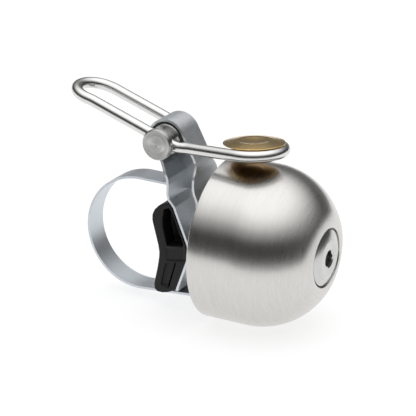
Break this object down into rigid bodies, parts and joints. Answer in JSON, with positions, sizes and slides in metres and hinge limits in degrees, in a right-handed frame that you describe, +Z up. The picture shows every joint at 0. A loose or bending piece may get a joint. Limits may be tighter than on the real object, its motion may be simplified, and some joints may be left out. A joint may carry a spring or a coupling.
{
  "type": "bicycle bell",
  "caption": "Compact strap-mounted bicycle bell: a brushed dome rung by a brass hammer on a sprung wire thumb lever.",
  "frame": {"origin": "axis of the handlebar loop of the strap, on the bell's middle plane", "axes": "X along the handlebar, Y rearward from the dome through the bar to the thumb loop, Z up towards the lever"},
  "size_m": [0.0328, 0.0584, 0.0434],
  "materials": {
    "dome_steel": "satin, brushed round the axis",
    "screw_steel": "turned and polished",
    "plain_steel": "plain machined",
    "spring_steel": "drawn wire, dull",
    "strap_steel": "rolled satin",
    "bracket_steel": "pressed, satin",
    "turned_steel": "turned face",
    "wire_steel": "polished",
    "brass": "turned, satin",
    "rubber": "moulded, satin",
    "bush_plastic": "moulded",
    "nylon": "moulded"
  },
  "bodies": {
    "bell_frame": {"bracket": "bracket_steel", "post": "plain_steel", "post_washer": "plain_steel", "seat_bush": "rubber", "dome": "dome_steel", "head_washer": "nylon", "pad": "rubber", "eye_bush_left": "bush_plastic", "eye_bush_right": "bush_plastic", "torsion_spring": "spring_steel"},
    "lever": {"wire_bail": "wire_steel", "axle": "turned_steel", "axle_cap": "turned_steel", "hammer_disc": "brass", "hammer_striker": "brass", "hammer_rivet": "brass"},
    "screw": {"clamp_screw": "screw_steel", "end_clip": "spring_steel"},
    "strap_set": {"strap": "strap_steel", "strap_rivets": "plain_steel", "yoke": "plain_steel"}
  },
  "joints": [
    {"name": "lever_swing", "type": "hinge", "parent": "bell_frame", "child": "lever", "pos_m": [0, -0.006, 0.02135], "axis": [-1, 0, 0], "range_deg": [-2.8, 35], "stiffness_Nm_per_rad": 0.03},
    {"name": "clamp_turn", "type": "hinge", "parent": "bell_frame", "child": "screw", "pos_m": [0, -0.0181, 0.0023], "axis": [0, -1, 0], "range_deg": [0, 2880]},
    {"name": "strap_slide", "type": "slide", "parent": "bell_frame", "child": "strap_set", "axis": [0, 1, 0], "range_m": [0, 0.0056]}
  ],
  "couplings": [
    {"joint": "clamp_turn", "follows": "strap_slide", "rad_per_m": 8976}
  ]
}
